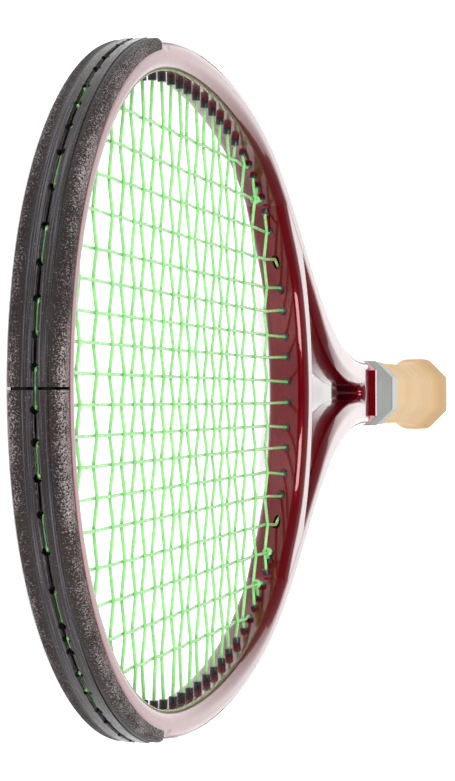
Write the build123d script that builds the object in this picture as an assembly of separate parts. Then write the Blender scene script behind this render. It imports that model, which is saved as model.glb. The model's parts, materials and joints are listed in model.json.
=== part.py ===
from build123d import *
import math
import os

os.makedirs("parts", exist_ok=True)

# ---------------------------------------------------------------------------
# Strung tennis racket, 27 inch. Millimetres, real size.
# Plan coordinates used below: s runs along the long axis from the outer face
# of the head's tip (s = 0) to the end of the butt cap (s = LENGTH), y runs
# across, z is square to the string plane with the string plane at z = 0.
# Row frame: X = s - LENGTH/2, Y = y, Z = z + BUTT_B, so the part stands on
# the lower facet of its butt and +X points from the head to the butt.
# ---------------------------------------------------------------------------
LENGTH = 685.8          # 27 inches
BEAM_T = 19.0           # height of the beam, square to the strings
TUBE_W = 11.2           # width of the head's tube in the string plane
ROUND_OUT = 4.6         # edge radius on the tube's outer side
ROUND_HEAD = 4.4        # edge radius on the inner side of the head
ROUND_THROAT = 5.6      # edge radius round the open throat
CHANNEL_D = 2.0         # depth of the string channel round the outside
CHANNEL_H = 2.6         # half height of the string channel
STRIP_T = 0.8           # thickness of the strips in the channel
STRIP_H = 2.5           # half height of the strips in the channel
SLOT_H = 0.45           # half height of the slot in the bumper
BUMPER_T = 0.85         # how far the bumper stands outside the tube
BUMPER_RIDGE = 1.25     # how far its two ridges stand outside the tube
BUMPER_LIP = 3.3        # how far its lips reach over the tube's edges
BUMPER_END = 99.0      # s where each half of the bumper ends
BUMPER_GAP = 0.45       # half the gap between the two halves, at the tip
WALL = 1.7              # wall of the hollow tube
BRIDGE_HALF = 9.4       # half height of the bridge
BARREL_R = 1.6          # outside radius of a grommet barrel
BORE_R = 0.85           # bore of a grommet barrel
BARREL_OUT = 2.8        # how far a barrel stands out of the inner wall
STRING_R = 0.62         # radius of the string (about 17 gauge)
WEAVE_Z = 0.65          # string centre's height over and under a crossing
BEND_R = 1.3            # bend of the string as it leaves a barrel
STRING_N = -0.52        # where the string lies in the channel
BUTT_A, BUTT_B = 22.6, 19.5   # half width and half height of the butt
GRIP_A, GRIP_B = 17.5, 14.5   # half width and half height of the grip
HAND_S = 479.0          # front end of the handle's pallets
COLLAR_END = 514.0      # back edge of the rubber collar
TAPE_END = 531.0        # back edge of the finishing tape
LEATHER_T = 1.8         # thickness of the leather
DOOR_A, DOOR_B = 9.0, 6.5     # half width and half height of the trapdoor

# outer side of the tube, upper half, from the tip to the shaft (s, y)
OUTER = [(1.25, 0.0), (3.44, 23.81), (9.83, 46.59), (20.82, 67.75),
         (36.06, 86.34), (54.19, 101.5), (74.89, 113.28), (97.44, 121.22),
         (120.96, 125.55), (144.64, 127.1), (168.76, 126.56),
         (192.24, 124.32), (216.05, 120.3), (239.04, 114.4),
         (261.5, 106.23), (282.98, 95.76), (303.35, 83.5), (323.22, 70.15),
         (343.06, 56.74), (363.38, 44.35), (384.81, 33.73), (407.04, 25.76),
         (430.53, 20.47), (454.05, 17.86), (480.0, 17.2)]
# inner side of the hairpin past the head, then the arm's inner side (s, y)
INNER_TAIL = [(262.0, 93.3), (276.5, 85.0), (290.5, 76.1), (305.0, 66.7),
              (318.0, 58.3), (331.8, 49.2), (345.0, 40.2), (361.0, 29.3),
              (375.0, 21.3), (391.5, 14.3), (412.0, 8.6), (430.0, 5.3),
              (445.0, 3.7), (457.0, 2.9)]
CROTCH_S = 461.0
# bridge: side that faces the strings, from inside the arm to the middle
BRIDGE_HEAD = [(275.5, 89.0), (283.5, 79.6), (290.8, 71.4), (303.2, 58.6),
               (311.4, 47.6), (316.4, 37.2), (320.6, 25.3), (323.2, 13.0),
               (324.3, 0.0)]
# bridge: side that faces the open throat, from inside the arm to the middle
BRIDGE_THROAT = [(320.0, 64.5), (327.6, 51.5), (332.4, 40.5), (336.2, 28.0),
                 (338.6, 14.0), (339.3, 0.0)]

# mains, from the middle outwards: y in the bed
MAIN_Y = [5.1, 15.15, 25.1, 35.6, 46.1, 58.55, 70.85, 83.2, 96.0]
# y where each main leaves the outer side at the tip
MAIN_TIP_Y = [6.35, 16.2, 27.0, 38.1, 49.4, 61.8, 74.6, 87.2, 99.6]
# y where each main enters the inner wall at the throat
MAIN_THROAT_Y = [4.7, 16.1, 25.3, 37.1, 46.8, 59.0, 71.5, 84.0, 96.1]
# crosses, from the tip to the throat: s
CROSS_S = [38.5, 55.1, 71.4, 83.6, 95.1, 106.1, 117.9, 129.4, 141.3, 152.2,
           162.8, 174.3, 186.3, 197.4, 208.9, 220.1, 232.2, 244.7, 262.6,
           283.5]

HALF_T = BEAM_T / 2
X0 = -LENGTH / 2
Z0 = BUTT_B


# ---------------------------------------------------------------------------
# Tangent-arc chains in plan. An arc is (cx, cy, r, a0, a1); r < 0 turns right.
# ---------------------------------------------------------------------------
def unit(v):
    n = math.hypot(v[0], v[1])
    return (v[0] / n, v[1] / n)


def circle_tangent(p, q, r):
    """Tangent at q of the circle through p, q, r, in the sense of travel."""
    a = (q[0] - p[0], q[1] - p[1])
    b = (r[0] - q[0], r[1] - q[1])
    la, lb = math.hypot(*a), math.hypot(*b)
    ua, ub = (a[0] / la, a[1] / la), (b[0] / lb, b[1] / lb)
    w = (ua[0] * lb + ub[0] * la, ua[1] * lb + ub[1] * la)
    return unit(w)


def arc_from(p, t, q):
    """Arc that leaves p along t and reaches q."""
    n = (-t[1], t[0])
    w = (q[0] - p[0], q[1] - p[1])
    d = 2 * (w[0] * n[0] + w[1] * n[1])
    if abs(d) < 1e-6:
        d = 1e-6 if d >= 0 else -1e-6
    r = (w[0] ** 2 + w[1] ** 2) / d
    c = (p[0] + n[0] * r, p[1] + n[1] * r)
    a0 = math.atan2(p[1] - c[1], p[0] - c[0])
    a1 = math.atan2(q[1] - c[1], q[0] - c[0])
    if r > 0:
        while a1 < a0:
            a1 += 2 * math.pi
    else:
        while a1 > a0:
            a1 -= 2 * math.pi
    return (c[0], c[1], r, a0, a1)


def chain(points, t_start=None, t_end=None):
    """Two tangent arcs between each pair of points."""
    n = len(points)
    t_start = unit(t_start) if t_start else None
    t_end = unit(t_end) if t_end else None
    tan = []
    for i in range(n):
        if i == 0:
            tan.append(t_start or None)
        elif i == n - 1:
            tan.append(t_end or None)
        else:
            tan.append(circle_tangent(points[i - 1], points[i], points[i + 1]))
    if tan[0] is None:
        c = unit((points[1][0] - points[0][0], points[1][1] - points[0][1]))
        k = 2 * (c[0] * tan[1][0] + c[1] * tan[1][1])
        tan[0] = (k * c[0] - tan[1][0], k * c[1] - tan[1][1])
    if tan[-1] is None:
        c = unit((points[-1][0] - points[-2][0], points[-1][1] - points[-2][1]))
        k = 2 * (c[0] * tan[-2][0] + c[1] * tan[-2][1])
        tan[-1] = (k * c[0] - tan[-2][0], k * c[1] - tan[-2][1])
    arcs = []
    for i in range(n - 1):
        p, q, t0, t1 = points[i], points[i + 1], tan[i], tan[i + 1]
        v = (q[0] - p[0], q[1] - p[1])
        vt = v[0] * (t0[0] + t1[0]) + v[1] * (t0[1] + t1[1])
        vv = v[0] ** 2 + v[1] ** 2
        den = 2 * (1 - (t0[0] * t1[0] + t0[1] * t1[1]))
        if den < 1e-9:
            d = vv / (4 * (v[0] * t1[0] + v[1] * t1[1]))
        else:
            d = (-vt + math.sqrt(vt * vt + den * vv)) / den
        m = ((p[0] + d * t0[0] + q[0] - d * t1[0]) / 2,
             (p[1] + d * t0[1] + q[1] - d * t1[1]) / 2)
        a = arc_from(p, t0, m)
        sg = 1 if a[2] > 0 else -1
        tm = (-math.sin(a[4]) * sg, math.cos(a[4]) * sg)
        arcs.append(a)
        arcs.append(arc_from(m, tm, q))
    return arcs


def arc_point(a, u, n=0.0):
    """Point at fraction u of an arc, n to the left of travel."""
    ang = a[3] + (a[4] - a[3]) * u
    r = abs(a[2]) + (-n if a[2] > 0 else n)
    return (a[0] + r * math.cos(ang), a[1] + r * math.sin(ang))


def trim(arcs, s_end):
    """Arcs up to the first point whose s is s_end."""
    out = []
    for a in arcs:
        p = arc_point(a, 1.0)
        if p[0] < s_end:
            out.append(a)
            continue
        lo, hi = 0.0, 1.0
        for _ in range(50):
            mid = (lo + hi) / 2
            if arc_point(a, mid)[0] < s_end:
                lo = mid
            else:
                hi = mid
        out.append((a[0], a[1], a[2], a[3], a[3] + (a[4] - a[3]) * lo))
        break
    return out


def trim_front(arcs, s_start):
    """Arcs from the point whose s is s_start."""
    out = []
    started = False
    for a in arcs:
        if started:
            out.append(a)
            continue
        if arc_point(a, 1.0)[0] <= s_start + 1e-6:
            continue
        lo, hi = 0.0, 1.0
        for _ in range(50):
            mid = (lo + hi) / 2
            if arc_point(a, mid)[0] < s_start:
                lo = mid
            else:
                hi = mid
        out.append((a[0], a[1], a[2], a[3] + (a[4] - a[3]) * lo, a[4]))
        started = True
    return out


def chain_edges(arcs, n=0.0, mirror=False, back=False):
    """Edges of a chain offset by n, at z = 0 in plan."""
    es = []
    m = -1 if mirror else 1
    for a in arcs:
        p, q, r = arc_point(a, 0, n), arc_point(a, 0.5, n), arc_point(a, 1, n)
        if abs(a[2]) > 2e4:
            e = Edge.make_line(Vector(p[0], m * p[1], 0), Vector(r[0], m * r[1], 0))
        else:
            e = Edge.make_three_point_arc(Vector(p[0], m * p[1], 0),
                                          Vector(q[0], m * q[1], 0),
                                          Vector(r[0], m * r[1], 0))
        es.append(e)
    return es


def end_point(arcs, n=0.0, mirror=False, last=True):
    p = arc_point(arcs[-1] if last else arcs[0], 1 if last else 0, n)
    return Vector(p[0], -p[1] if mirror else p[1], 0)


def face_of(edges):
    return Face(Wire(edges))


def slab(face, z_lo, z_hi):
    """Solid over a plan face, from z_lo to z_hi, in the row frame."""
    return Pos(X0, 0, Z0 + z_lo) * extrude(face, amount=z_hi - z_lo, dir=(0, 0, 1))


# travelling from the tip towards the shaft with y > 0, outside is on the left
OUT = chain(OUTER, (0.0, 1.0), (1.0, 0.0))


def band(arcs, n_lo, n_hi, z_lo, z_hi, mirror=False):
    """Solid band along a chain between two offsets (positive is outwards)."""
    e1 = chain_edges(arcs, n_hi, mirror)
    e2 = chain_edges(arcs, n_lo, mirror)
    a0, a1 = end_point(arcs, n_hi, mirror, False), end_point(arcs, n_hi, mirror)
    b0, b1 = end_point(arcs, n_lo, mirror, False), end_point(arcs, n_lo, mirror)
    f = face_of(e1 + [Edge.make_line(a1, b1)] + e2[::-1] + [Edge.make_line(b0, a0)])
    return slab(f, z_lo, z_hi)


def dense(arcs, n=0.0, step=0.2):
    pts = []
    for a in arcs:
        k = max(2, int(abs(a[2]) * abs(a[4] - a[3]) / step))
        for i in range(k):
            pts.append(arc_point(a, i / k, n))
    pts.append(arc_point(arcs[-1], 1.0, n))
    return pts


def hit(poly, p, d, nearest=True):
    """First crossing of the line p + t d (t > 0) with a dense polyline."""
    best = None
    for i in range(len(poly) - 1):
        a, b = poly[i], poly[i + 1]
        ex, ey = b[0] - a[0], b[1] - a[1]
        det = d[0] * (-ey) - d[1] * (-ex)
        if abs(det) < 1e-12:
            continue
        rx, ry = a[0] - p[0], a[1] - p[1]
        t = (rx * (-ey) - ry * (-ex)) / det
        u = (d[0] * ry - d[1] * rx) / det
        if t > 1e-6 and -1e-9 <= u <= 1 + 1e-9:
            if best is None or t < best[0]:
                best = (t, (p[0] + t * d[0], p[1] + t * d[1]), i + u)
    return best


def level_edges(solid, z, ok):
    """Edges of a solid that lie at height z and whose middle passes ok."""
    out = []
    for e in solid.edges():
        bb = e.bounding_box()
        if abs(bb.min.Z - z) < 1e-4 and abs(bb.max.Z - z) < 1e-4:
            m = e @ 0.5
            if ok(m.X - X0, abs(m.Y)):
                out.append(e)
    return out


def rounded(solid, radius, ok, z_levels=(-HALF_T, HALF_T)):
    for z in z_levels:
        es = level_edges(solid, Z0 + z, ok)
        if es:
            solid = solid.fillet(radius, es)
    return solid


def one(shape):
    """The single solid of a result."""
    ss = shape.solids()
    if len(ss) == 1:
        return ss[0]
    return max(ss, key=lambda q: q.volume)


def plan_loop(arcs, n=0.0):
    """Closed loop of a chain and its reflection, which meet at y = 0."""
    return (chain_edges(arcs, n, False), chain_edges(arcs, n, True))


# ---------------------------------------------------------------------------
# Hairpin tube: head, arms and the start of the shaft
# ---------------------------------------------------------------------------
HEAD_ARCS = trim(OUT, 252.0)
_p = arc_point(HEAD_ARCS[-1], 1.0, -TUBE_W)
_q = arc_point(HEAD_ARCS[-1], 0.999, -TUBE_W)
IN_TAIL = chain([_p] + INNER_TAIL, unit((_p[0] - _q[0], _p[1] - _q[1])), (1.0, -0.02))
_c0 = arc_point(IN_TAIL[-1], 1.0)
CROTCH = chain([_c0, (CROTCH_S, 0.0)], (1.0, -0.02), (0.0, -1.0))

def hairpin():
    e_out, e_out_m = plan_loop(OUT)
    a, b = end_point(OUT), end_point(OUT, 0, True)
    outer = Wire(e_out + [Edge.make_line(a, b)] + e_out_m[::-1])
    e_in = chain_edges(HEAD_ARCS, -TUBE_W) + chain_edges(IN_TAIL) + chain_edges(CROTCH)
    e_in_m = (chain_edges(HEAD_ARCS, -TUBE_W, True) + chain_edges(IN_TAIL, 0, True)
              + chain_edges(CROTCH, 0, True))
    inner = Wire(e_in + e_in_m[::-1])
    f = Face(outer, [inner])
    body = one(slab(f, -HALF_T, HALF_T))
    end_s = OUTER[-1][0]
    def is_inner(s, y):
        return inner_side(s, y)
    body = rounded(body, ROUND_HEAD, is_inner)
    body = rounded(body, ROUND_OUT, lambda s, y: s < end_s - 0.01 and not inner_side(s, y))
    return body


OUT_DENSE = dense(OUT)


def off_out(s, y):
    """Distance of a plan point from the outer line."""
    return min(math.hypot(s - p[0], y - p[1]) for p in OUT_DENSE)


def inner_side(s, y):
    return off_out(s, y) > 4.0


# ---------------------------------------------------------------------------
# String holes: entry on the inner wall, exit on the outer wall, in plan.
# Each hole is a dict with the exit point e, the outward axis a, the entry
# point p, the point k where the string meets the barrel's mouth, and the
# arc length or offset line it leaves on.
# ---------------------------------------------------------------------------
INNER_DENSE = dense(HEAD_ARCS, -TUBE_W) + dense(IN_TAIL)
BR_HEAD = chain(BRIDGE_HEAD, None, (0.0, -1.0))
BR_THROAT = chain(BRIDGE_THROAT, None, (0.0, -1.0))
BR_HEAD_DENSE = dense(BR_HEAD)
BR_THROAT_DENSE = dense(BR_THROAT)
_acc = [0.0]
for _i in range(1, len(OUT_DENSE)):
    _acc.append(_acc[-1] + math.dist(OUT_DENSE[_i - 1], OUT_DENSE[_i]))


def out_at(length, n=0.0):
    """Point and outward normal of the outer line at an arc length."""
    lo, hi = 0, len(_acc) - 1
    while hi - lo > 1:
        mid = (lo + hi) // 2
        if _acc[mid] <= length:
            lo = mid
        else:
            hi = mid
    a, b = OUT_DENSE[lo], OUT_DENSE[hi]
    u = (length - _acc[lo]) / (_acc[hi] - _acc[lo])
    i0, i1 = max(0, lo - 3), min(len(_acc) - 1, hi + 3)
    t = unit((OUT_DENSE[i1][0] - OUT_DENSE[i0][0], OUT_DENSE[i1][1] - OUT_DENSE[i0][1]))
    nn = (-t[1], t[0])
    return ((a[0] + u * (b[0] - a[0]) + n * nn[0], a[1] + u * (b[1] - a[1]) + n * nn[1]), nn)


def out_length(i_u):
    i = int(i_u)
    u = i_u - i
    return _acc[i] + u * (_acc[min(i + 1, len(_acc) - 1)] - _acc[i])


def length_at(key, val):
    """Arc length where the outer line's s (key 0) or y (key 1) is val, rising."""
    for i in range(1, len(OUT_DENSE)):
        if OUT_DENSE[i - 1][key] <= val <= OUT_DENSE[i][key]:
            a, b = OUT_DENSE[i - 1][key], OUT_DENSE[i][key]
            return _acc[i - 1] + (val - a) / max(1e-9, b - a) * (_acc[i] - _acc[i - 1])
    raise ValueError(val)


def mix(d, n, w):
    return unit((w * d[0] + (1 - w) * n[0], w * d[1] + (1 - w) * n[1]))


def hole_from_exit(length, axis, out_by):
    e, n = out_at(length)
    back = (-axis[0], -axis[1])
    h = hit(INNER_DENSE, e, back)
    g = hit(BR_HEAD_DENSE, e, back)
    p = g[1] if g and h[0] < g[0] < 25 else h[1]
    k = (p[0] + back[0] * (out_by + 0.5), p[1] + back[1] * (out_by + 0.5))
    return {"e": e, "a": axis, "p": p, "k": k, "len": length, "out": out_by,
            "line": "outer", "n": n}


def hole_from_entry(p, axis, out_by):
    h = hit(OUT_DENSE, p, axis)
    e = h[1]
    length = out_length(h[2])
    back = (-axis[0], -axis[1])
    k = (p[0] + back[0] * (out_by + 0.5), p[1] + back[1] * (out_by + 0.5))
    return {"e": e, "a": axis, "p": p, "k": k, "len": length, "out": out_by,
            "line": "outer", "n": out_at(length)[1]}


def wall_at_s(s):
    p = hit(INNER_DENSE, (s, 40.0), (0.0, 1.0))[1]
    g = hit(BR_HEAD_DENSE, (s, 40.0), (0.0, 1.0))
    return g[1] if g and g[1][1] < p[1] else p


SHORT = 1.3                       # barrels that stand out less, near a crossing
main_tip, main_throat, cross_hole = [], [], []
for i, y in enumerate(MAIN_Y):
    if i < 6:
        length = length_at(1, MAIN_TIP_Y[i])
        e, n = out_at(length)
        axis = unit((e[0] - CROSS_S[0], e[1] - y))
        main_tip.append(hole_from_exit(length, axis, 2.0))
    else:
        length = (78.0, 101.0, 124.5)[i - 6]
        main_tip.append(hole_from_exit(length, out_at(length)[1], SHORT))
THROAT_EXIT_Y = [4.5, 15.8, 24.2, 33.0, 38.8, 44.2]
for i, y in enumerate(MAIN_THROAT_Y):
    if i < 6:
        p = hit(BR_HEAD_DENSE, (250.0, y), (1.0, 0.0))[1]
        q = hit(BR_THROAT_DENSE, (325.0, THROAT_EXIT_Y[i]), (1.0, 0.0))[1]
        axis = unit((q[0] - p[0], q[1] - p[1]))
        k = (p[0] - axis[0] * (SHORT + 0.5), p[1] - axis[1] * (SHORT + 0.5))
        main_throat.append({"e": q, "a": axis, "p": p, "k": k, "out": SHORT,
                            "line": "throat", "y": q[1]})
    elif i == 6:
        p = hit(BR_HEAD_DENSE, (250.0, y), (1.0, 0.0))[1]
        main_throat.append(hole_from_entry(p, unit((0.72, 0.69)), SHORT))
    else:
        p = hit(INNER_DENSE, (230.0, y + 0.9), (1.0, 0.0))[1]
        main_throat.append(hole_from_entry(p, unit((0.55, 0.83)), SHORT))
for j, s in enumerate(CROSS_S):
    if j < 3:
        length = (89.5, 111.5, 134.5)[j]
        cross_hole.append(hole_from_exit(length, out_at(length)[1], SHORT))
    else:
        p = wall_at_s(s)
        if j < 17:
            n = out_at(length_at(0, s))[1]
            axis = mix((0.0, 1.0), n, 0.5)
            cross_hole.append(hole_from_entry(p, axis, BARREL_OUT))
        else:
            axis = unit(((0.20, 0.98), (0.35, 0.94), (0.35, 0.94))[j - 17])
            cross_hole.append(hole_from_entry(p, axis, SHORT))
# tie-off holes: the mains' tails on both sides near the throat, the cross
# string's tail near the throat and its start near the tip, both at y < 0
TIE_MAIN = hole_from_exit((main_throat[7]["len"] + cross_hole[18]["len"]) / 2,
                          unit((0.50, 0.86)), SHORT)
TIE_CROSS = hole_from_exit(main_throat[6]["len"] - 8.0, unit((0.55, 0.83)), SHORT)
TIE_START = hole_from_exit(83.7, out_at(83.7)[1], SHORT)

OVERRIDE = {(6, 0): (39.8, 67.3), (7, 1): (55.7, 82.2), (8, 2): (72.5, 94.7)}


def crossing(i, j):
    """Plan point where main i meets cross j, or None."""
    if (i, j) in OVERRIDE:
        return OVERRIDE[(i, j)]
    s, y = CROSS_S[j], MAIN_Y[i]
    w = wall_at_s(s) if j < 20 else None
    if w is None or w[1] - y < 4.0:
        return None
    if s < main_tip[i]["k"][0] + 3.0 or s > main_throat[i]["k"][0] - 3.0:
        return None
    return (s, y)


def level(i, upper, j):
    """+1 where the cross passes over the main, -1 where it passes under."""
    idx = 8 - i if upper else 9 + i
    return 1 if (idx + j) % 2 else -1


# ---------------------------------------------------------------------------
# Solids
# ---------------------------------------------------------------------------
def p3(p, z=0.0, m=1):
    return Vector(p[0] + X0, m * p[1], Z0 + z)


def rod(p, q, r, m=1):
    a, b = p3(p, 0, m), p3(q, 0, m)
    return Solid.make_cylinder(r, (b - a).length, Plane(origin=a, z_dir=(b - a)))


def along(h, t):
    """Point on a hole's axis, t outwards from its exit."""
    return (h["e"][0] + h["a"][0] * t, h["e"][1] + h["a"][1] * t)


def inward(h, t):
    """Point on a hole's axis, t inwards from its entry."""
    return (h["p"][0] - h["a"][0] * t, h["p"][1] - h["a"][1] * t)


def normal_of(h):
    if h["line"] == "outer":
        return h["n"]
    best = min(range(len(BR_THROAT_DENSE) - 1),
               key=lambda i: math.dist(BR_THROAT_DENSE[i], h["e"]))
    i0, i1 = max(0, best - 3), min(len(BR_THROAT_DENSE) - 1, best + 3)
    t = unit((BR_THROAT_DENSE[i1][0] - BR_THROAT_DENSE[i0][0],
              BR_THROAT_DENSE[i1][1] - BR_THROAT_DENSE[i0][1]))
    return (-t[1], t[0])


def at_offset(h, n):
    """Point on a hole's axis that lies n outside the outer surface."""
    nn = normal_of(h)
    return along(h, n / (h["a"][0] * nn[0] + h["a"][1] * nn[1]))


def both(fn):
    return [fn(False), fn(True)]


def hollow_cutters():
    """Everything that is cut out of the tube, both sides."""
    cut = []
    for m in (False, True):
        cut.append(band(trim(OUT, 318.0), -CHANNEL_D, 3.0, -CHANNEL_H, CHANNEL_H, m))
        for z in (1, -1):
            lo, hi = (7.9, 11.0) if z > 0 else (-11.0, -7.9)
            cut.append(band(trim(OUT, BUMPER_END), -BUMPER_LIP, 3.0, lo, hi, m))
            lo, hi = (8.35, 11.0) if z > 0 else (-11.0, -8.35)
            cut.append(band(trim_front(trim(OUT, 318.0), BUMPER_END), -2.35, -1.85, lo, hi, m))
    return cut


OUTER_HOLES = [(h, m) for m in (1, -1) for h in
               main_tip + main_throat[6:] + cross_hole + [TIE_MAIN]]
OUTER_HOLES += [(TIE_CROSS, -1), (TIE_START, -1)]
THROAT_HOLES = [(h, m) for m in (1, -1) for h in main_throat[:6]]

print("hairpin")
hair_full = hairpin()

def octagon(s, a, b, c=None, d=None):
    """Octagonal face square to the long axis: half sizes a (y) and b (z)."""
    c = 0.5 * a if c is None else c
    d = 0.39 * b if d is None else d
    pts = [(c, b), (a, d), (a, -d), (c, -b), (-c, -b), (-a, -d), (-a, d), (-c, b)]
    return Face(Wire.make_polygon([Vector(X0 + s, y, Z0 + z) for y, z in pts], close=True))


def tower(rows):
    """Ruled loft through octagons (s, a, b[, c, d])."""
    return Solid.make_loft([octagon(*r).outer_wire() for r in rows], True)


def leg_box(m, s0, s1, y0, y1, z, r):
    bx = Pos(X0 + (s0 + s1) / 2, m * (y0 + y1) / 2, Z0) * Box(s1 - s0, y1 - y0, 2 * z)
    bx = bx.fillet(r, bx.edges().filter_by(Axis.X)) if r else bx
    return bx


SHELL = one(hair_full - hollow_cutters())
print("shell", round(SHELL.volume), SHELL.is_valid)


def make_tube():
    add = [leg_box(m, 466.0, 672.0, 0.8, 12.2, 8.5, 2.5) for m in (1, -1)]
    # painted shoulder that the collar butts against
    add.append(tower([(476.1, 16.6, 9.3, 12.2, 5.6), (476.9, 17.25, 12.2, 12.4, 7.4),
                      (480.0, 17.25, 12.3, 12.4, 7.4)]))
    t = one(SHELL + add)
    inner = []
    for m in (False, True):
        inner.append(band(trim(OUT, 470.0), -9.5, -3.9, -7.7, 7.7, m))
        inner.append(leg_box(-1 if m else 1, 462.0, 673.0, 2.5, 10.5, 6.8, 1.5))
    t = one(t - inner)
    t = t - [rod(at_offset(h, 2.5), inward(h, 3.0), BARREL_R + 0.06, m)
             for h, m in OUTER_HOLES]
    return one(t)


def make_bridge():
    eh, ehm = chain_edges(BR_HEAD), chain_edges(BR_HEAD, 0, True)
    et, etm = chain_edges(BR_THROAT), chain_edges(BR_THROAT, 0, True)
    a, b = end_point(BR_HEAD, 0, True, False), end_point(BR_THROAT, 0, True, False)
    c, d = end_point(BR_THROAT, 0, False, False), end_point(BR_HEAD, 0, False, False)
    w = Wire(eh + ehm[::-1] + [Edge.make_line(a, b)] + etm + et[::-1] + [Edge.make_line(c, d)])
    hb = BRIDGE_HALF
    body = one(slab(Face(w), -hb, hb))

    def near(dd, s, y):
        return min(math.hypot(s - q[0], y - q[1]) for q in dd) < 0.05
    body = rounded(body, ROUND_HEAD, lambda s, y: near(BR_HEAD_DENSE, s, y), (-hb, hb))
    body = rounded(body, ROUND_THROAT - 0.8, lambda s, y: near(BR_THROAT_DENSE, s, y), (-hb, hb))
    body = one(body - hair_full)
    tr = trim_front(BR_THROAT, 330.0)
    inn = trim_front(BR_THROAT, 332.0)
    cut = []
    for m in (False, True):
        cut.append(band(tr, -CHANNEL_D, 4.0, -CHANNEL_H, CHANNEL_H, m))
        cut.append(band(inn, -12.3, -4.2, -7.6, 7.6, m))
    body = one(body - cut)
    holes = THROAT_HOLES + [(main_throat[6], 1), (main_throat[6], -1), (TIE_CROSS, -1),
                            (cross_hole[19], 1), (cross_hole[19], -1)]
    body = body - [rod(at_offset(h, 2.5), inward(h, 3.0), BARREL_R + 0.06, m)
                   for h, m in holes]
    return one(body)


def add_barrels(base, holes, mouths=False):
    base = one(base + [rod(at_offset(h, -1.75), inward(h, h["out"]), BARREL_R, m)
                       for h, m in holes])
    base = one(base - [rod(at_offset(h, 1.0), inward(h, h["out"] + 2), BORE_R, m)
                       for h, m in holes])
    if mouths:
        base = one(base - [rod(at_offset(h, -0.9), at_offset(h, 2.5), 1.45, m)
                           for h, m in holes])
    return base


def make_bumper(m):
    arcs = trim(OUT, BUMPER_END)
    mir = m < 0
    env = one(band(arcs, -BUMPER_LIP, BUMPER_T, -9.45, 9.45, mir))
    es = []
    for z in (-9.45, 9.45):
        es += level_edges(env, Z0 + z, lambda s, y: abs(off_out(s, y) - BUMPER_T) < 0.2
                          and s < BUMPER_END - 0.3)
    env = env.fillet(2.0, es)
    for z in (1, -1):
        lo, hi = (0.7, 4.4) if z > 0 else (-4.4, -0.7)
        r = one(band(arcs, 0.4, BUMPER_RIDGE, lo, hi, mir))
        es = []
        for lv in (lo, hi):
            es += level_edges(r, Z0 + lv, lambda s, y: abs(off_out(s, y) - BUMPER_RIDGE) < 0.2
                              and s < BUMPER_END - 0.3)
        env = env + r.fillet(0.36, es)
    env = one(env)
    env = one(env - SHELL)
    cut = [band(arcs, -1.2, 0.12, -2.0, 2.0, mir),
           band(arcs, -1.2, 5.0, -SLOT_H, SLOT_H, mir),
           Pos(X0, 0, Z0) * Box(20, 2 * BUMPER_GAP, 40)]
    env = env - cut
    holes = [(h, mm) for h, mm in OUTER_HOLES if mm == m and h["e"][0] < BUMPER_END]
    return add_barrels(one(env), holes, True)


def make_side_strip(m):
    arcs = trim_front(trim(OUT, 316.0), BUMPER_END + 0.5)
    base = one(band(arcs, -CHANNEL_D + 0.02, -CHANNEL_D + STRIP_T, -STRIP_H, STRIP_H, m < 0))
    holes = [(h, mm) for h, mm in OUTER_HOLES if mm == m and h["e"][0] > BUMPER_END]
    return add_barrels(base, holes)


def make_throat_strip():
    tr = trim_front(BR_THROAT, 330.6)
    base = (band(tr, -CHANNEL_D + 0.02, -CHANNEL_D + STRIP_T, -STRIP_H, STRIP_H, False)
            + band(tr, -CHANNEL_D + 0.02, -CHANNEL_D + STRIP_T, -STRIP_H, STRIP_H, True))
    return add_barrels(one(base), THROAT_HOLES)


# ---------------------------------------------------------------------------
# Strings: straight runs joined by tangent arcs
# ---------------------------------------------------------------------------
def run_of(points):
    """Edges through (Vector, radius) points."""
    edges = []
    cur = points[0][0]
    for i in range(1, len(points) - 1):
        a, b, c = points[i - 1][0], points[i][0], points[i + 1][0]
        u, v = (a - b).normalized(), (c - b).normalized()
        turn = math.pi - math.radians(u.get_angle(v))
        if turn < 0.004:
            continue
        reach = 0.49 * min((a - b).length, (c - b).length)
        r = min(points[i][1], reach / math.tan(turn / 2))
        t = r * math.tan(turn / 2)
        mid = b + (u + v).normalized() * (r / math.cos(turn / 2) - r)
        p1, p2 = b + u * t, b + v * t
        if (p1 - cur).length > 1e-4:
            edges.append(Edge.make_line(cur, p1))
        edges.append(Edge.make_three_point_arc(p1, mid, p2))
        cur = p2
    if (points[-1][0] - cur).length > 1e-4:
        edges.append(Edge.make_line(cur, points[-1][0]))
    return edges


def string_solid(points):
    edges = run_of(points)
    w = Wire(edges)
    pl = Plane(origin=w @ 0, z_dir=w % 0)
    body = one(sweep(pl * Circle(STRING_R), path=w))
    want = math.pi * STRING_R ** 2 * w.length
    print("string", len(edges), "edges", round(w.length), "mm, volume ratio",
          round(body.volume / want, 4), "valid", body.is_valid)
    return body


def corner(h, m, z=0.0):
    return (p3(at_offset(h, STRING_N), z, m), BEND_R)


def mouth(h, m):
    return (p3(h["k"], 0, m), 3.0)


def loop(h0, m0, h1, m1, z=0.0):
    """Points along the channel between two outer holes, without the corners."""
    if m0 != m1:                                  # round the tip
        l0, l1 = -h0["len"] * 1.0, h1["len"]
        side = (-m0 if False else m0, m1)
    else:
        l0, l1 = h0["len"], h1["len"]
    span = abs(l1 - l0)
    step = 1 if l1 > l0 else -1
    pts = []
    lead = 2.5 if z else span / max(2, round(span / 7.0))
    n = max(1, round((span - 2 * lead) / 6.5))
    for i in range(n + 1):
        if span - 2 * lead < 1.0 and i:
            break
        l = l0 + step * (lead + (span - 2 * lead) * i / n)
        q, _ = out_at(abs(l), STRING_N)
        mm = m0 if (m0 == m1 or l * l0 > 0) else m1
        pts.append((p3(q, z, mm), 2.0 if z and i in (0, n) else 12.0))
    return pts


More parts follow.
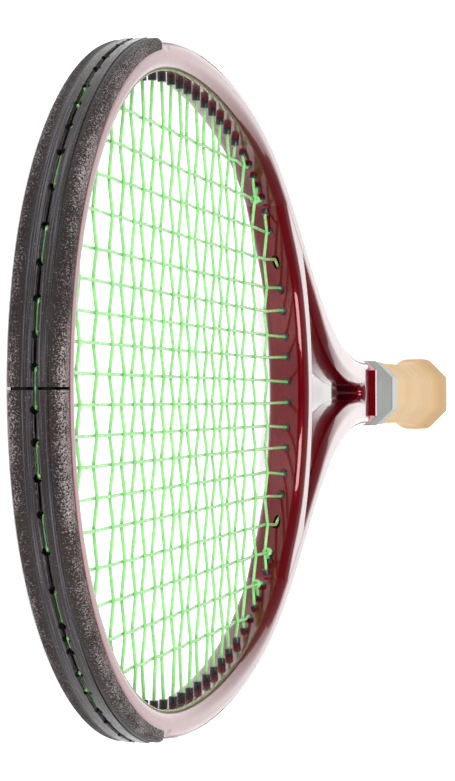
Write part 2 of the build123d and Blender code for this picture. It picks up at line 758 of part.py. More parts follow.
def throat_loop(h0, h1, m):
    """Points along the bridge's channel between two of its holes."""
    k0 = min(range(len(TH_LINE)), key=lambda i: math.dist(TH_LINE[i], at_offset(h0, STRING_N)))
    k1 = min(range(len(TH_LINE)), key=lambda i: math.dist(TH_LINE[i], at_offset(h1, STRING_N)))
    return [(p3(TH_LINE[(k0 + k1) // 2], 0, m), 20.0)]


TH_LINE = dense(BR_THROAT, STRING_N)


def main_points(i, m):
    """One main from its throat hole to its tip hole."""
    ht, hh = main_tip[i], main_throat[i]
    pts = [corner(hh, m), mouth(hh, m)]
    for j in range(19, -1, -1):
        c = crossing(i, j)
        if c:
            pts.append((p3(c, -level(i, m > 0, j) * WEAVE_Z, m), 2.0))
    pts += [mouth(ht, m), corner(ht, m)]
    return pts


def cross_points(j):
    """One cross from the hole at y > 0 to the one at y < 0."""
    h = cross_hole[j]
    pts = [corner(h, 1), mouth(h, 1)]
    for m in (1, -1):
        order = range(8, -1, -1) if m > 0 else range(9)
        for i in order:
            c = crossing(i, j)
            if c:
                pts.append((p3(c, level(i, m > 0, j) * WEAVE_Z, m), 2.0))
    pts += [mouth(h, -1), corner(h, -1)]
    return pts


def knot_at(h, y):
    """Where a tail's axis meets the main that it is tied to."""
    t = (h["p"][1] - y) / h["a"][1]
    return inward(h, t), t


KNOTS = []                       # (hole, side, centre in plan, distance)
for _h, _m, _y in ((TIE_MAIN, 1, MAIN_Y[7]), (TIE_MAIN, -1, MAIN_Y[7]),
                   (TIE_CROSS, -1, MAIN_Y[6]), (TIE_START, -1, MAIN_Y[6])):
    _q, _t = knot_at(_h, _y) if _h is not TIE_START else ((46.5, 68.85), 0.0)
    KNOTS.append((_h, _m, _q, _t))


def tail(k):
    h, m, q, t = KNOTS[k]
    if h is TIE_START:                        # under the first cross, to the knot beyond it
        return [(p3((45.4, 70.2), -0.4, m), 1.0), (p3((40.6, 69.9), -1.0, m), 3.0),
                mouth(h, m), corner(h, m)]
    return [(p3(inward(h, t - 1.5), 0, m), 1.0), corner(h, m)]


def main_route():
    pts = list(tail(0))
    pts += loop(TIE_MAIN, 1, main_throat[8], 1, -1.3)
    pts += main_points(8, 1)
    pts += loop(main_tip[8], 1, main_tip[7], 1, -1.3) + main_points(7, 1)[::-1]
    pts += loop(main_throat[7], 1, main_throat[6], 1, -1.3) + main_points(6, 1)
    pts += loop(main_tip[6], 1, main_tip[5], 1) + main_points(5, 1)[::-1]
    pts += throat_loop(main_throat[5], main_throat[4], 1) + main_points(4, 1)
    pts += loop(main_tip[4], 1, main_tip[3], 1) + main_points(3, 1)[::-1]
    pts += throat_loop(main_throat[3], main_throat[2], 1) + main_points(2, 1)
    pts += loop(main_tip[2], 1, main_tip[1], 1) + main_points(1, 1)[::-1]
    pts += throat_loop(main_throat[1], main_throat[0], 1) + main_points(0, 1)
    half = pts
    other = []
    for v, r in half:
        other.append((Vector(v.X, -v.Y, v.Z), r))
    # the far half weaves the other way, so its crossings are rebuilt
    other = []
    other += main_points(0, -1)[::-1] + throat_loop(main_throat[0], main_throat[1], -1)
    other += main_points(1, -1) + loop(main_tip[1], -1, main_tip[2], -1)
    other += main_points(2, -1)[::-1] + throat_loop(main_throat[2], main_throat[3], -1)
    other += main_points(3, -1) + loop(main_tip[3], -1, main_tip[4], -1)
    other += main_points(4, -1)[::-1] + throat_loop(main_throat[4], main_throat[5], -1)
    other += main_points(5, -1) + loop(main_tip[5], -1, main_tip[6], -1)
    other += main_points(6, -1)[::-1] + loop(main_throat[6], -1, main_throat[7], -1, -1.3)
    other += main_points(7, -1) + loop(main_tip[7], -1, main_tip[8], -1, -1.3)
    other += main_points(8, -1)[::-1] + loop(main_throat[8], -1, TIE_MAIN, -1, -1.3)
    other += tail(1)[::-1]
    return half + [(p3(out_at(0.01, STRING_N)[0], 0, 1), 12.0)] + other


def cross_route():
    pts = list(tail(3)) + loop(TIE_START, -1, cross_hole[0], -1)
    for j in range(20):
        row = cross_points(j)
        if j % 2 == 0:
            pts += row[::-1]
            if j < 19:
                z = 1.3 if j in (0, 18) else 0.0
                pts += loop(cross_hole[j], 1, cross_hole[j + 1], 1, z)
        else:
            pts += row
            if j < 19:
                z = 1.3 if j in (1, 17) else 0.0
                pts += loop(cross_hole[j], -1, cross_hole[j + 1], -1, z)
    pts += loop(cross_hole[19], -1, TIE_CROSS, -1, 1.3)
    pts += tail(2)[::-1]
    return pts


# ---------------------------------------------------------------------------
# Handle
# ---------------------------------------------------------------------------
LEATHER = [(531.0, 17.5, 14.5), (610.0, 17.6, 14.6), (635.0, 18.3, 15.2),
           (655.0, 20.4, 17.2), (666.0, 22.2, 19.0), (672.0, BUTT_A, BUTT_B),
           (681.5, BUTT_A, BUTT_B), (682.6, BUTT_A - 0.7, BUTT_B - 0.7)]
UNDER_TAPE = [(514.6, 17.25, 14.25), (531.0, 17.25, 14.25)]


def shrink(rows, d):
    return [(s, a - d, b - d) for s, a, b in rows]


def pallet(z):
    body = tower([(480.0, 15.6, 11.2), (509.0, 15.7, 12.7), (678.0, 15.7, 12.7)])
    core = Pos(X0 + 580, 0, Z0) * Box(300, 24.4, 17.0)
    core = core.fillet(2.5, core.edges().filter_by(Axis.X))
    cut = [core, Pos(X0 + 580, 0, Z0 - z * 20.0) * Box(300, 60, 40.0)]
    return one(body - cut - staples())


def collar():
    body = tower([(480.0, 17.1, 12.2), (483.0, 17.35, 12.75), (508.0, 17.9, 14.45),
                  (511.5, 18.0, 14.6), (513.6, 17.7, 14.3)])
    return one(body - tower([(480.0, 15.6, 11.2), (509.0, 15.7, 12.7), (514.0, 15.7, 12.7)]))


def tape():
    body = tower([(514.6, 17.5, 14.5), (531.0, 17.5, 14.5)])
    return one(body - tower(UNDER_TAPE))


def leather():
    body = one(tower(UNDER_TAPE) + tower(LEATHER))
    inner = tower([(514.0, 15.7, 12.7), (631.0, 15.7, 12.7), (632.0, 16.2, 13.2)])
    cap = tower(CAP_OUT[:5])
    return one(body - [inner, cap, tack()])


CAP_OUT = [(632.0, 16.2, 13.2), (655.0, 18.5, 15.3), (668.0, 20.4, 17.2),
           (673.0, 20.8, 17.7), (683.0, 20.8, 17.7)]


def staples():
    out = []
    for z in (1, -1):
        crown = Pos(X0 + 638.0, 0, Z0 + z * 13.25) * Box(1.2, 9.6, 0.5)
        legs = [Pos(X0 + 638.0, y, Z0 + z * 11.2) * Box(1.2, 0.6, 4.4) for y in (-4.5, 4.5)]
        out.append(one(crown + legs))
    return out


def tack():
    """Small nail through the leather's end, in the facet at y < 0."""
    head = Solid.make_cylinder(2.0, 0.5, Plane(origin=(X0 + 677.0, -BUTT_A + 0.05, Z0),
                                               z_dir=(0, 1, 0)))
    pin = Solid.make_cylinder(0.6, 6.5, Plane(origin=(X0 + 677.0, -BUTT_A + 0.4, Z0),
                                              z_dir=(0, 1, 0)))
    return one(head + pin)


def door_shape(grow, s0, s1):
    bx = Pos(X0 + (s0 + s1) / 2, 0, Z0) * Box(s1 - s0, 2 * (DOOR_A + grow), 2 * (DOOR_B + grow))
    return bx.fillet(3.0, bx.edges().filter_by(Axis.X))


def butt_cap():
    body = tower(CAP_OUT)
    plate = tower([(682.7, 21.7, 18.6), (684.9, 21.7, 18.6), (LENGTH, 20.5, 17.4)])
    body = one(body + plate)
    inner = tower([(631.0, 15.7, 12.7), (678.6, 15.7, 12.7)])
    return one(body - [inner, door_shape(0.1, 677.0, LENGTH + 1), tack()] - staples())


def trapdoor():
    """Plug with a rim, two snap fingers behind it and a recess for a fingernail."""
    body = door_shape(-0.1, 683.4, LENGTH - 0.2)
    cup = door_shape(-0.1, 679.2, 683.4) - door_shape(-1.3, 679.0, 683.4)
    body = one(body + cup)
    nick = Pos(X0 + LENGTH - 0.2, 0, Z0 + DOOR_B - 0.6) * Box(1.6, 5.0, 1.2)
    return one(body - nick)


def knots():
    out = []
    for h, m, q, t in KNOTS:
        c = p3(q, 0, m)
        rings = []
        for dx in (-1.15, 0.0, 1.15):
            rings.append(Pos(c.X + dx, c.Y, c.Z) * Rotation(0, 90, 0) * Torus(1.28, 0.62))
        body = rings[0] + rings[1:]
        body = one(body + Pos(c.X, c.Y, c.Z) * Rotation(0, 90, 0) * Cylinder(1.5, 2.6))
        i = MAIN_Y.index(min(MAIN_Y, key=lambda y: abs(y - q[1])))
        line = [v for v, _ in main_points(i, m)]
        for a, b in zip(line, line[1:]):
            if min(a.X, b.X) < c.X + 2.5 and max(a.X, b.X) > c.X - 2.5 and abs(a.X - b.X) > 3:
                body = body - Solid.make_cylinder(STRING_R, (b - a).length,
                                                  Plane(origin=a, z_dir=(b - a)))
        out.append(one(body))
    return out


# ---------------------------------------------------------------------------
# Nodes
# ---------------------------------------------------------------------------
def group(solids):
    return Compound(children=solids)


NODES = [
    ("leather_grip", leather), ("finishing_tape", tape), ("rubber_collar", collar),
    ("handle_pallet_top", lambda: pallet(1)), ("handle_pallet_bottom", lambda: pallet(-1)),
    ("butt_cap", butt_cap), ("butt_cap_trapdoor", trapdoor),
    ("butt_cap_staples", lambda: group(staples())), ("grip_tack", tack),
    ("tie_off_knots", lambda: group(knots())),
    ("main_string", lambda: string_solid(main_route())),
    ("cross_string", lambda: string_solid(cross_route())),
    ("throat_grommet_strip", make_throat_strip),
    ("throat_bridge", make_bridge),
    ("side_grommet_strip_right", lambda: make_side_strip(1)),
    ("side_grommet_strip_left", lambda: make_side_strip(-1)),
    ("bumper_guard_right", lambda: make_bumper(1)),
    ("bumper_guard_left", lambda: make_bumper(-1)),
    ("frame_tube", make_tube),
]


def main():
    for name, make in NODES:
        shape = make()
        bb = shape.bounding_box()
        print("%-26s" % name, "volume", round(shape.volume, 1), "valid", shape.is_valid,
              "solids", len(shape.solids()), "x %.1f %.1f y %.1f %.1f z %.2f %.2f" % (
                  bb.min.X, bb.max.X, bb.min.Y, bb.max.Y, bb.min.Z, bb.max.Z), flush=True)
        export_step(shape, "parts/" + name + ".step")


if __name__ == "__main__":
    main()
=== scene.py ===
import json
import math
import bpy
import bmesh
from mathutils import Vector, Matrix, noise


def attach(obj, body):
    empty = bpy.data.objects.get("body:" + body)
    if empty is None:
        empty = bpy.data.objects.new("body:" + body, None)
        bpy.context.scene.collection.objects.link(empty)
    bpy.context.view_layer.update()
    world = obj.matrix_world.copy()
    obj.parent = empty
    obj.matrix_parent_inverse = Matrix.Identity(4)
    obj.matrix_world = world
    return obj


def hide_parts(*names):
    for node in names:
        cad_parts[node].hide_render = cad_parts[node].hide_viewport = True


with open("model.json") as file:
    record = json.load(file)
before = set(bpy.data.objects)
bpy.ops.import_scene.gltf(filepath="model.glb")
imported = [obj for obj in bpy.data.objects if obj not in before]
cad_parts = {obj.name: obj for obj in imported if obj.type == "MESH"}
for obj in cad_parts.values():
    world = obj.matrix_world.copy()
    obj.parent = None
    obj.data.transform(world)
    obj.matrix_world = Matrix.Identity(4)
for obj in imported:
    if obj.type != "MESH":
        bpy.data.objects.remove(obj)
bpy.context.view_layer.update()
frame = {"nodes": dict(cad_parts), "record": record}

NODES = frame["nodes"]
scene = bpy.context.scene
BODY = "racket"
ZC = 0.0195                      # height of the string plane

# ---------------------------------------------------------------------------
# Node helpers
# ---------------------------------------------------------------------------
class Mat:
    """A node material with short helpers."""

    def __init__(self, name, color, rough, **kw):
        self.m = bpy.data.materials.new(name)
        self.m.use_nodes = True
        self.t = self.m.node_tree
        self.b = self.t.nodes["Principled BSDF"]
        self.b.inputs["Base Color"].default_value = (*color, 1.0)
        self.b.inputs["Roughness"].default_value = rough
        for k, v in kw.items():
            self.b.inputs[k.replace("_", " ")].default_value = v
        self.pos = self.t.nodes.new("ShaderNodeTexCoord").outputs["Object"]

    def node(self, kind, **kw):
        n = self.t.nodes.new(kind)
        for k, v in kw.items():
            setattr(n, k, v)
        return n

    def link(self, a, b):
        self.t.links.new(a, b)

    def mapped(self, scale):
        n = self.node("ShaderNodeMapping")
        n.inputs["Scale"].default_value = scale
        self.link(self.pos, n.inputs["Vector"])
        return n.outputs["Vector"]

    def noise(self, scale, detail=4.0, rough=0.55, vec=None, distortion=0.0):
        n = self.node("ShaderNodeTexNoise")
        n.inputs["Scale"].default_value = scale
        n.inputs["Detail"].default_value = detail
        n.inputs["Roughness"].default_value = rough
        n.inputs["Distortion"].default_value = distortion
        self.link(vec or self.pos, n.inputs["Vector"])
        return n.outputs["Fac"]

    def voronoi(self, scale, vec=None, feature="F1", out="Distance"):
        n = self.node("ShaderNodeTexVoronoi", feature=feature)
        n.inputs["Scale"].default_value = scale
        self.link(vec or self.pos, n.inputs["Vector"])
        return n.outputs[out]

    def ramp(self, fac, stops, interp="LINEAR"):
        n = self.node("ShaderNodeValToRGB")
        n.color_ramp.interpolation = interp
        el = n.color_ramp.elements
        while len(el) > 1:
            el.remove(el[0])
        el[0].position = stops[0][0]
        c = stops[0][1]
        el[0].color = c if isinstance(c, tuple) and len(c) == 4 else (*((c,) * 3 if not isinstance(c, tuple) else c), 1)
        for p, c in stops[1:]:
            e = el.new(p)
            e.color = (*((c,) * 3 if not isinstance(c, tuple) else c), 1)
        self.link(fac, n.inputs["Fac"])
        return n.outputs["Color"]

    def math(self, op, a, b=None, c=None, clamp=False):
        n = self.node("ShaderNodeMath", operation=op, use_clamp=clamp)
        for i, v in enumerate((a, b, c)):
            if v is None:
                continue
            if isinstance(v, (int, float)):
                n.inputs[i].default_value = v
            else:
                self.link(v, n.inputs[i])
        return n.outputs[0]

    def mix(self, fac, a, b, blend="MIX"):
        n = self.node("ShaderNodeMix", data_type="RGBA", blend_type=blend)
        for key, v in ((0, fac), (6, a), (7, b)):
            if isinstance(v, (int, float)):
                n.inputs[key].default_value = v
            elif isinstance(v, tuple):
                n.inputs[key].default_value = (*v, 1.0)
            else:
                self.link(v, n.inputs[key])
        return n.outputs[2]

    def axis(self, k):
        if not hasattr(self, "_xyz"):
            self._xyz = self.node("ShaderNodeSeparateXYZ")
            self.link(self.pos, self._xyz.inputs[0])
        return self._xyz.outputs[k]

    def height(self):
        """Distance from the string plane, in metres."""
        return self.math("ABSOLUTE", self.math("SUBTRACT", self.axis(2), ZC))

    def color(self, out):
        self.link(out, self.b.inputs["Base Color"])

    def rough(self, out):
        self.link(out, self.b.inputs["Roughness"])

    def bump(self, h, strength, dist=0.0005, after=None):
        n = self.node("ShaderNodeBump")
        n.inputs["Strength"].default_value = strength
        n.inputs["Distance"].default_value = dist
        self.link(h, n.inputs["Height"])
        if after is not None:
            self.link(after, n.inputs["Normal"])
        self.link(n.outputs["Normal"], self.b.inputs["Normal"])
        return n.outputs["Normal"]


def step(m, v, lo, hi):
    """0 below lo, 1 above hi."""
    n = m.node("ShaderNodeMapRange")
    n.inputs["From Min"].default_value = lo
    n.inputs["From Max"].default_value = hi
    m.link(v, n.inputs["Value"])
    return n.outputs["Result"]


# ---------------------------------------------------------------------------
# Materials
# ---------------------------------------------------------------------------
def make_lacquer():
    m = Mat("red_lacquer", (0.20, 0.002, 0.006), 0.32, Metallic=0.30,
            Coat_Weight=1.0, Coat_Roughness=0.04, Coat_IOR=1.36)
    m.b.inputs["Specular IOR Level"].default_value = 0.04
    cell = m.node("ShaderNodeSeparateColor")
    m.link(m.voronoi(6500.0, out="Color"), cell.inputs[0])
    cloud = m.noise(18.0, 3.0)
    base = m.ramp(cloud, [(0.30, (0.068, 0.0003, 0.0025)), (0.55, (0.085, 0.0004, 0.003)),
                          (0.75, (0.104, 0.0006, 0.004))])
    base = m.mix(m.math("GREATER_THAN", cell.outputs[0], 0.95), base, (0.13, 0.0012, 0.005))
    # rubbed marks and small chips along the edges
    rub = m.noise(420.0, 6.0, 0.7, m.mapped((0.35, 1.0, 1.6)))
    chips = m.math("GREATER_THAN", m.noise(330.0, 5.0, 0.75), 0.75)
    edge = step(m, m.height(), 0.0080, 0.0092)
    base = m.mix(m.math("MULTIPLY", chips, edge), base, (0.24, 0.17, 0.16))
    # bare laminate where the guard's two halves meet
    joint = m.math("MULTIPLY", m.math("LESS_THAN", m.math("ABSOLUTE", m.axis(1)), 0.0013),
                   m.math("LESS_THAN", m.axis(0), -0.3375))
    m.color(m.mix(joint, base, (0.006, 0.005, 0.005)))
    m.link(m.math("SUBTRACT", 1.0, joint), m.b.inputs["Coat Weight"])
    m.rough(m.ramp(rub, [(0.45, 0.28), (0.62, 0.31), (0.70, 0.38)]))
    m.bump(m.noise(500.0, 2.0, 0.4), 0.012, 0.0002)
    return m.m


def make_bumper():
    m = Mat("bumper_nylon", (0.025, 0.019, 0.018), 0.42)
    m.b.inputs["Specular IOR Level"].default_value = 0.17
    z = m.height()
    grain = m.noise(1500.0, 5.0, 0.75)
    patch = m.noise(34.0, 5.0, 0.65)
    fine = m.noise(1700.0, 4.0, 0.75)
    nick = m.noise(700.0, 4.0, 0.8)
    # abrasion: dense fine stipple on the shoulders, thinning towards the ridges
    shoulder = step(m, z, 0.0040, 0.0085)
    wear = m.math("MULTIPLY", shoulder, m.ramp(patch, [(0.38, 0.40), (0.58, 1.0)]))
    level = m.math("SUBTRACT", 0.62, m.math("MULTIPLY", wear, 0.175))
    dots = m.math("MULTIPLY", m.math("SUBTRACT", fine, level), 9.0, clamp=True)
    gouge = m.math("MULTIPLY", m.math("MULTIPLY", m.math("SUBTRACT", nick, 0.60), 8.0, clamp=True), wear)
    mask = m.math("MAXIMUM", m.math("MULTIPLY", dots, 0.85), m.math("MULTIPLY", gouge, 0.55))
    base = m.ramp(m.noise(26.0, 3.0), [(0.3, (0.004, 0.0020, 0.0018)), (0.7, (0.009, 0.0050, 0.0045))])
    # painted reflection: bluish-grey streaks along the polished ridges stand in for the softbox's reflection
    ridge_reflection_streaks = m.ramp(m.noise(1.0, 4.0, 0.6, m.mapped((26.0, 26.0, 2200.0))), [(0.50, 0.0), (0.64, 0.85)])
    ridge = m.math("SUBTRACT", 1.0, step(m, z, 0.0040, 0.0050))
    base = m.mix(m.math("MULTIPLY", ridge_reflection_streaks, ridge), base, (0.050, 0.051, 0.060))
    m.color(m.mix(mask, base, (0.235, 0.20, 0.195)))
    rough = m.node("ShaderNodeMix", data_type="FLOAT")
    m.link(step(m, z, 0.0040, 0.0062), rough.inputs[0])
    m.link(m.ramp(m.noise(260.0, 4.0, 0.6, m.mapped((0.3, 0.3, 2.0))), [(0.35, 0.22), (0.7, 0.38)]),
           rough.inputs[2])
    rough.inputs[3].default_value = 0.66
    m.rough(rough.outputs[0])
    n1 = m.bump(m.math("SUBTRACT", 1.0, mask), 0.5, 0.0003)
    m.bump(grain, 0.25, 0.00012, after=n1)
    return m.m


def make_grommet():
    m = Mat("grommet_nylon", (0.012, 0.012, 0.013), 0.34)
    g = m.noise(1400.0, 3.0)
    m.color(m.ramp(g, [(0.3, (0.006, 0.006, 0.007)), (0.7, (0.022, 0.021, 0.023))]))
    m.rough(m.ramp(m.noise(300.0), [(0.3, 0.26), (0.7, 0.44)]))
    m.bump(g, 0.2, 0.0001)
    return m.m


def make_string():
    m = Mat("green_string", (0.30, 0.80, 0.18), 0.28, Subsurface_Weight=0.3)
    m.b.inputs["Subsurface Radius"].default_value = (0.001, 0.0015, 0.0008)
    m.b.inputs["Specular IOR Level"].default_value = 0.6
    n = m.noise(160.0, 3.0)
    dirt = m.noise(600.0, 5.0, 0.7)
    base = m.ramp(n, [(0.3, (0.125, 0.34, 0.10)), (0.7, (0.175, 0.42, 0.145))])
    m.color(m.mix(m.ramp(dirt, [(0.62, 0.0), (0.78, 0.5)]), base, (0.08, 0.24, 0.06)))
    m.rough(m.ramp(dirt, [(0.3, 0.22), (0.75, 0.42)]))
    m.bump(dirt, 0.10, 0.0001)
    return m.m


def make_rubber():
    m = Mat("collar_rubber", (0.30, 0.33, 0.32), 0.55)
    n = m.noise(900.0, 5.0, 0.7)
    w = m.noise(60.0, 3.0)
    m.color(m.mix(m.ramp(w, [(0.35, 0.0), (0.75, 0.6)]),
                  m.ramp(n, [(0.3, (0.125, 0.138, 0.128)), (0.7, (0.195, 0.208, 0.196))]),
                  (0.225, 0.235, 0.215)))
    m.rough(m.ramp(n, [(0.3, 0.48), (0.7, 0.66)]))
    m.bump(n, 0.35, 0.0002)
    return m.m


def make_tape():
    m = Mat("finishing_vinyl", (0.58, 0.60, 0.60), 0.38)
    n = m.noise(500.0, 4.0, 0.6)
    m.color(m.ramp(n, [(0.3, (0.21, 0.215, 0.20)), (0.7, (0.28, 0.285, 0.265))]))
    m.rough(m.ramp(n, [(0.3, 0.30), (0.7, 0.46)]))
    m.bump(n, 0.15, 0.0001)
    return m.m


def make_leather():
    m = Mat("tan_leather", (0.62, 0.36, 0.14), 0.52)
    grain = m.voronoi(950.0, feature="DISTANCE_TO_EDGE")
    pores = m.noise(1700.0, 5.0, 0.7)
    big = m.noise(34.0, 4.0, 0.6)
    base = m.ramp(big, [(0.28, (0.56, 0.345, 0.135)), (0.52, (0.60, 0.38, 0.155)),
                        (0.78, (0.63, 0.41, 0.18))])
    worn = m.ramp(m.noise(120.0, 5.0, 0.65), [(0.40, 0.0), (0.72, 0.35)])
    base = m.mix(worn, base, (0.50, 0.28, 0.09))
    # darker towards the butt, over the flare
    base = m.mix(m.math("MULTIPLY", step(m, m.axis(0), 0.300, 0.320), 0.85), base, (0.47, 0.245, 0.055))
    m.color(m.mix(m.ramp(grain, [(0.0, 0.40), (0.10, 0.0)]), base, (0.52, 0.30, 0.11)))
    m.rough(m.ramp(pores, [(0.3, 0.42), (0.7, 0.64)]))
    n1 = m.bump(m.ramp(grain, [(0.0, 0.0), (0.22, 1.0)]), 0.35, 0.00025)
    m.bump(pores, 0.25, 0.0001, after=n1)
    return m.m


def make_cap():
    m = Mat("cap_nylon", (0.03, 0.03, 0.032), 0.45)
    n = m.noise(700.0, 4.0)
    m.color(m.ramp(n, [(0.3, (0.018, 0.018, 0.02)), (0.7, (0.045, 0.045, 0.048))]))
    m.rough(m.ramp(n, [(0.3, 0.38), (0.7, 0.55)]))
    m.bump(n, 0.3, 0.00015)
    return m.m


def make_steel():
    m = Mat("zinc_wire", (0.5, 0.5, 0.5), 0.35, Metallic=1.0)
    n = m.noise(800.0, 4.0)
    m.color(m.ramp(n, [(0.3, (0.36, 0.36, 0.37)), (0.7, (0.62, 0.62, 0.63))]))
    m.rough(m.ramp(n, [(0.3, 0.25), (0.7, 0.5)]))
    m.bump(n, 0.1, 0.0001)
    return m.m


def make_foam():
    m = Mat("pallet_foam", (0.62, 0.55, 0.40), 0.8)
    n = m.voronoi(700.0)
    m.color(m.ramp(n, [(0.1, (0.45, 0.38, 0.25)), (0.6, (0.66, 0.59, 0.44))]))
    m.rough(m.ramp(n, [(0.1, 0.7), (0.6, 0.9)]))
    m.bump(n, 0.4, 0.0003)
    return m.m


MATS = {"lacquer": make_lacquer(), "bumper": make_bumper(), "grommet": make_grommet(),
        "string": make_string(), "collar_rubber": make_rubber(), "tape": make_tape(),
        "leather": make_leather(), "pallet_foam": make_foam(), "cap_plastic": make_cap(),
        "steel": make_steel()}

SLOT_OF = {s["node"]: s["material_slot"] for s in frame["record"]["subparts"]}
for name, ob in NODES.items():
    if name in SLOT_OF:
        for sl in ob.material_slots:
            sl.material = MATS[SLOT_OF[name]]

# ---------------------------------------------------------------------------
# Leather wrap: one strip wound round the octagon, each turn over the last
# ---------------------------------------------------------------------------
X0 = -0.3429
GRIP = [(0.5311, 17.5, 14.5), (0.610, 17.6, 14.6), (0.635, 18.3, 15.2), (0.655, 20.4, 17.2),
        (0.666, 22.2, 19.0), (0.672, 22.6, 19.5), (0.6815, 22.6, 19.5), (0.6826, 21.9, 18.8)]
PITCH = 0.0225


def lerp_rows(rows, s):
    for (s0, a0, b0), (s1, a1, b1) in zip(rows, rows[1:]):
        if s <= s1:
            t = (s - s0) / (s1 - s0)
            return a0 + (a1 - a0) * t, b0 + (b1 - b0) * t
    return rows[-1][1:]


def smooth_rows(rows, s, w=0.009):
    a = b = 0.0
    rows = rows[:-1]
    for k in range(-3, 4):
        q = lerp_rows(rows, min(max(s + k * w / 3, rows[0][0]), rows[-1][0]))
        a += q[0] / 7
        b += q[1] / 7
    return a, b


def oct_ring(a, b, r, flat=10, arc=5):
    """Points round an octagon with rounded edges, in millimetres, with their normals."""
    c, d = 0.47 * a, 0.39 * b
    pts = [(c, b), (a, d), (a, -d), (c, -b), (-c, -b), (-a, -d), (-a, d), (-c, b)]
    ring = []
    n = len(pts)
    for i in range(n):
        p, q, o = Vector(pts[i]), Vector(pts[(i + 1) % n]), Vector(pts[i - 1])
        e1, e0 = (q - p).normalized(), (p - o).normalized()
        n0, n1 = Vector((-e0.y, e0.x)), Vector((-e1.y, e1.x))
        half = math.acos(max(-1, min(1, n0.dot(n1)))) / 2
        t = r * math.tan(half)
        ctr = p - (n0 + n1).normalized() * (r / math.cos(half))
        a0, a1 = math.atan2(n0.y, n0.x), math.atan2(n1.y, n1.x)
        while a1 - a0 > math.pi:
            a1 -= 2 * math.pi
        while a1 - a0 < -math.pi:
            a1 += 2 * math.pi
        for k in range(arc + 1):
            an = a0 + (a1 - a0) * k / arc
            nn = Vector((math.cos(an), math.sin(an)))
            ring.append((ctr + nn * r, nn))
        p2, q2 = p + e1 * t, q - e1 * t
        for k in range(1, flat):
            ring.append((p2 + (q2 - p2) * k / flat, n1))
    return ring


def seam_lift(s, turn):
    """Height of the strip's outer face over the plain octagon, in millimetres."""
    u = ((s - 0.531) / PITCH - turn) % 1.0
    w = u * PITCH * 1000                       # mm since this turn's edge
    edge = 0.0
    if w < 1.4:                                # the edge is skived thin and rolled down
        edge = 0.035 * (w / 0.5 if w < 0.5 else 1.0)
    elif w < 9.0:
        edge = 0.035 * (9.0 - w) / 7.6
    groove = -0.05 if w > PITCH * 1000 - 0.45 else 0.0
    return edge + groove


def leather_mesh():
    rows = []
    s = 0.5311
    while s < 0.6815:
        rows.append(s)
        s += 0.00042
    rows += [0.6815, 0.6820, 0.6824, 0.6826]
    vs, fs = [], []
    count = None
    for s in rows:
        a, b = smooth_rows(GRIP, s) if s < 0.6815 else lerp_rows(GRIP, s)
        ring = oct_ring(a - 0.12, b - 0.12, 7.5)
        count = len(ring)
        for k, (p, nn) in enumerate(ring):
            ang = math.atan2(p.y, p.x) / (2 * math.pi)
            turn = ang
            lift = seam_lift(s, turn) if s < 0.675 else 0.0
            n3 = noise.noise(Vector((s * 260, p.x * 0.22, p.y * 0.22)))
            lift += 0.03 * n3
            lift = min(lift, 0.12 + 0.0) if s > 0.672 else lift
            q = p + nn * lift
            z = q.y
            if z < -19.5:
                z = -19.5
            vs.append((X0 + s, q.x / 1000, ZC + z / 1000))
    for i in range(len(rows) - 1):
        for k in range(count):
            a = i * count + k
            b = i * count + (k + 1) % count
            fs.append((a, b, b + count, a + count))
    # lining: a second skin one leather's thickness further in
    inner = list(range(0, len(rows) - 4, 12)) + [len(rows) - 1]
    base = len(vs)
    for i in inner:
        a, b = smooth_rows(GRIP, rows[i]) if i < len(rows) - 1 else (22.55, 19.45)
        for p, nn in oct_ring(a - 1.7, b - 1.7, 2.2):
            vs.append((X0 + rows[i], p.x / 1000, ZC + p.y / 1000))
    for i in range(len(inner) - 1):
        for k in range(count):
            a, b = base + i * count + k, base + i * count + (k + 1) % count
            fs.append((a, a + count, b + count, b))
    # ends: the cut edge of the leather, down to the pallets and the cap
    for row, ring0 in ((0, base), (len(rows) - 1, base + (len(inner) - 1) * count)):
        for k in range(count):
            a, b = row * count + k, row * count + (k + 1) % count
            c, d = ring0 + (k + 1) % count, ring0 + k
            fs.append((a, d, c, b) if row == 0 else (a, b, c, d))
    me = bpy.data.meshes.new("leather_wrap")
    me.from_pydata(vs, [], fs)
    bm = bmesh.new()
    bm.from_mesh(me)
    bmesh.ops.recalc_face_normals(bm, faces=bm.faces)
    bm.to_mesh(me)
    bm.free()
    for p in me.polygons:
        p.use_smooth = True
    ob = bpy.data.objects.new("leather_wrap", me)
    scene.collection.objects.link(ob)
    me.materials.append(MATS["leather"])
    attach(ob, BODY)
    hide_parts("leather_grip")
    return ob


leather_mesh()

# ---------------------------------------------------------------------------
# Floor, light and camera
# ---------------------------------------------------------------------------
def floor():
    me = bpy.data.meshes.new("floor")
    n = 24
    vs, fs = [], []
    for i in range(n + 1):
        for j in range(n + 1):
            x = -3.0 + 6.0 * i / n
            y = -3.0 + 6.0 * j / n
            vs.append((x, y, (0.338 - x) * 0.0151 - 0.0004))
    for i in range(n):
        for j in range(n):
            a = i * (n + 1) + j
            fs.append((a, a + n + 1, a + n + 2, a + 1))
    me.from_pydata(vs, [], fs)
    ob = bpy.data.objects.new("floor", me)
    scene.collection.objects.link(ob)
    m = Mat("floor_white", (0.86, 0.86, 0.86), 0.35)
    k = m.noise(3.0, 2.0)
    m.color(m.ramp(k, [(0.3, (0.84, 0.845, 0.85)), (0.7, (0.87, 0.87, 0.87))]))
    m.b.inputs["Emission Color"].default_value = (1.0, 1.0, 1.0, 1.0)
    m.b.inputs["Emission Strength"].default_value = 0.62
    me.materials.append(m.m)
    return ob


floor()


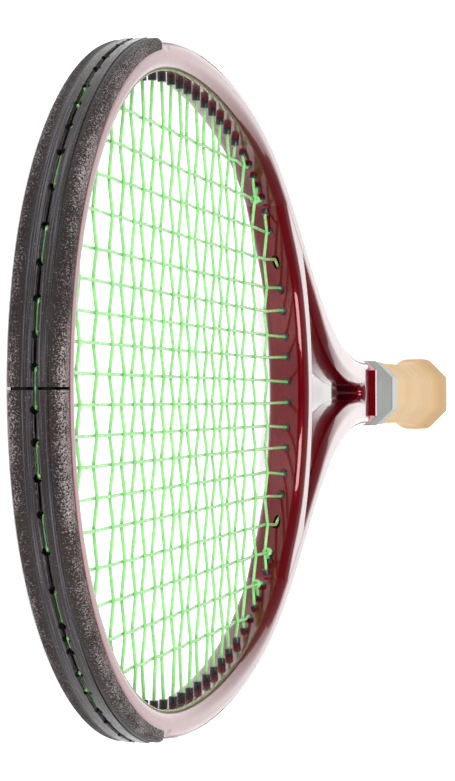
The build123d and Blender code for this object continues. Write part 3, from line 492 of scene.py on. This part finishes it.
def area(name, loc, target, size, size_y, power, color=(1, 1, 1), spread=180):
    li = bpy.data.lights.new(name, "AREA")
    li.shape = "RECTANGLE"
    li.size, li.size_y = size, size_y
    li.energy = power
    li.color = color
    li.spread = math.radians(spread)
    ob = bpy.data.objects.new(name, li)
    ob.location = loc
    d = Vector(target) - Vector(loc)
    ob.rotation_euler = d.to_track_quat("-Z", "Y").to_euler()
    scene.collection.objects.link(ob)
    return ob


area("overhead", (0.35, 0.0, 1.6), (0.05, 0.0, 0.0), 1.6, 2.0, 5.0)
area("backdrop", (2.6, 0.0, 0.95), (0.0, 0.0, 0.25), 4.0, 1.6, 36.0)
area("softbox_left", (-0.80, 0.62, 0.66), (0.0, 0.0, 0.15), 0.52, 0.66, 17.0)
area("softbox_right", (-0.80, -0.62, 0.66), (0.0, 0.0, 0.15), 0.52, 0.66, 17.0)

world = scene.world or bpy.data.worlds.new("world")
scene.world = world
world.use_nodes = True
wt = world.node_tree
bg = wt.nodes["Background"]
tc = wt.nodes.new("ShaderNodeTexCoord")
sx = wt.nodes.new("ShaderNodeSeparateXYZ")
wt.links.new(tc.outputs["Generated"], sx.inputs[0])
mr = wt.nodes.new("ShaderNodeMapRange")
mr.inputs["From Min"].default_value = -0.6
mr.inputs["From Max"].default_value = 0.5
wt.links.new(sx.outputs[0], mr.inputs["Value"])
cr = wt.nodes.new("ShaderNodeValToRGB")
cr.color_ramp.elements[0].color = (0.03, 0.03, 0.032, 1)
cr.color_ramp.elements[1].color = (1.0, 1.0, 1.0, 1)
wt.links.new(mr.outputs[0], cr.inputs[0])
wt.links.new(cr.outputs[0], bg.inputs["Color"])
bg.inputs["Strength"].default_value = 0.30

th, ps, ph = 0.266443, 0.0053224, -0.0043403
F = Vector((math.cos(th) * math.cos(ps), math.sin(ps) * math.cos(th), -math.sin(th)))
R = F.cross(Vector((0, 0, 1))).normalized()
U = R.cross(F)
R2 = math.cos(ph) * R + math.sin(ph) * U
U2 = -math.sin(ph) * R + math.cos(ph) * U
cam = bpy.data.cameras.new("camera")
cam.sensor_width = 36.0
cam.lens = 87.86
cam.clip_start = 0.01
cob = bpy.data.objects.new("camera", cam)
scene.collection.objects.link(cob)
rot = Matrix((U2, -R2, -F)).transposed()
cob.matrix_world = Matrix.Translation((-0.876208, -0.003695, 0.224907)) @ rot.to_4x4()
scene.camera = cob
scene.view_settings.view_transform = "Standard"
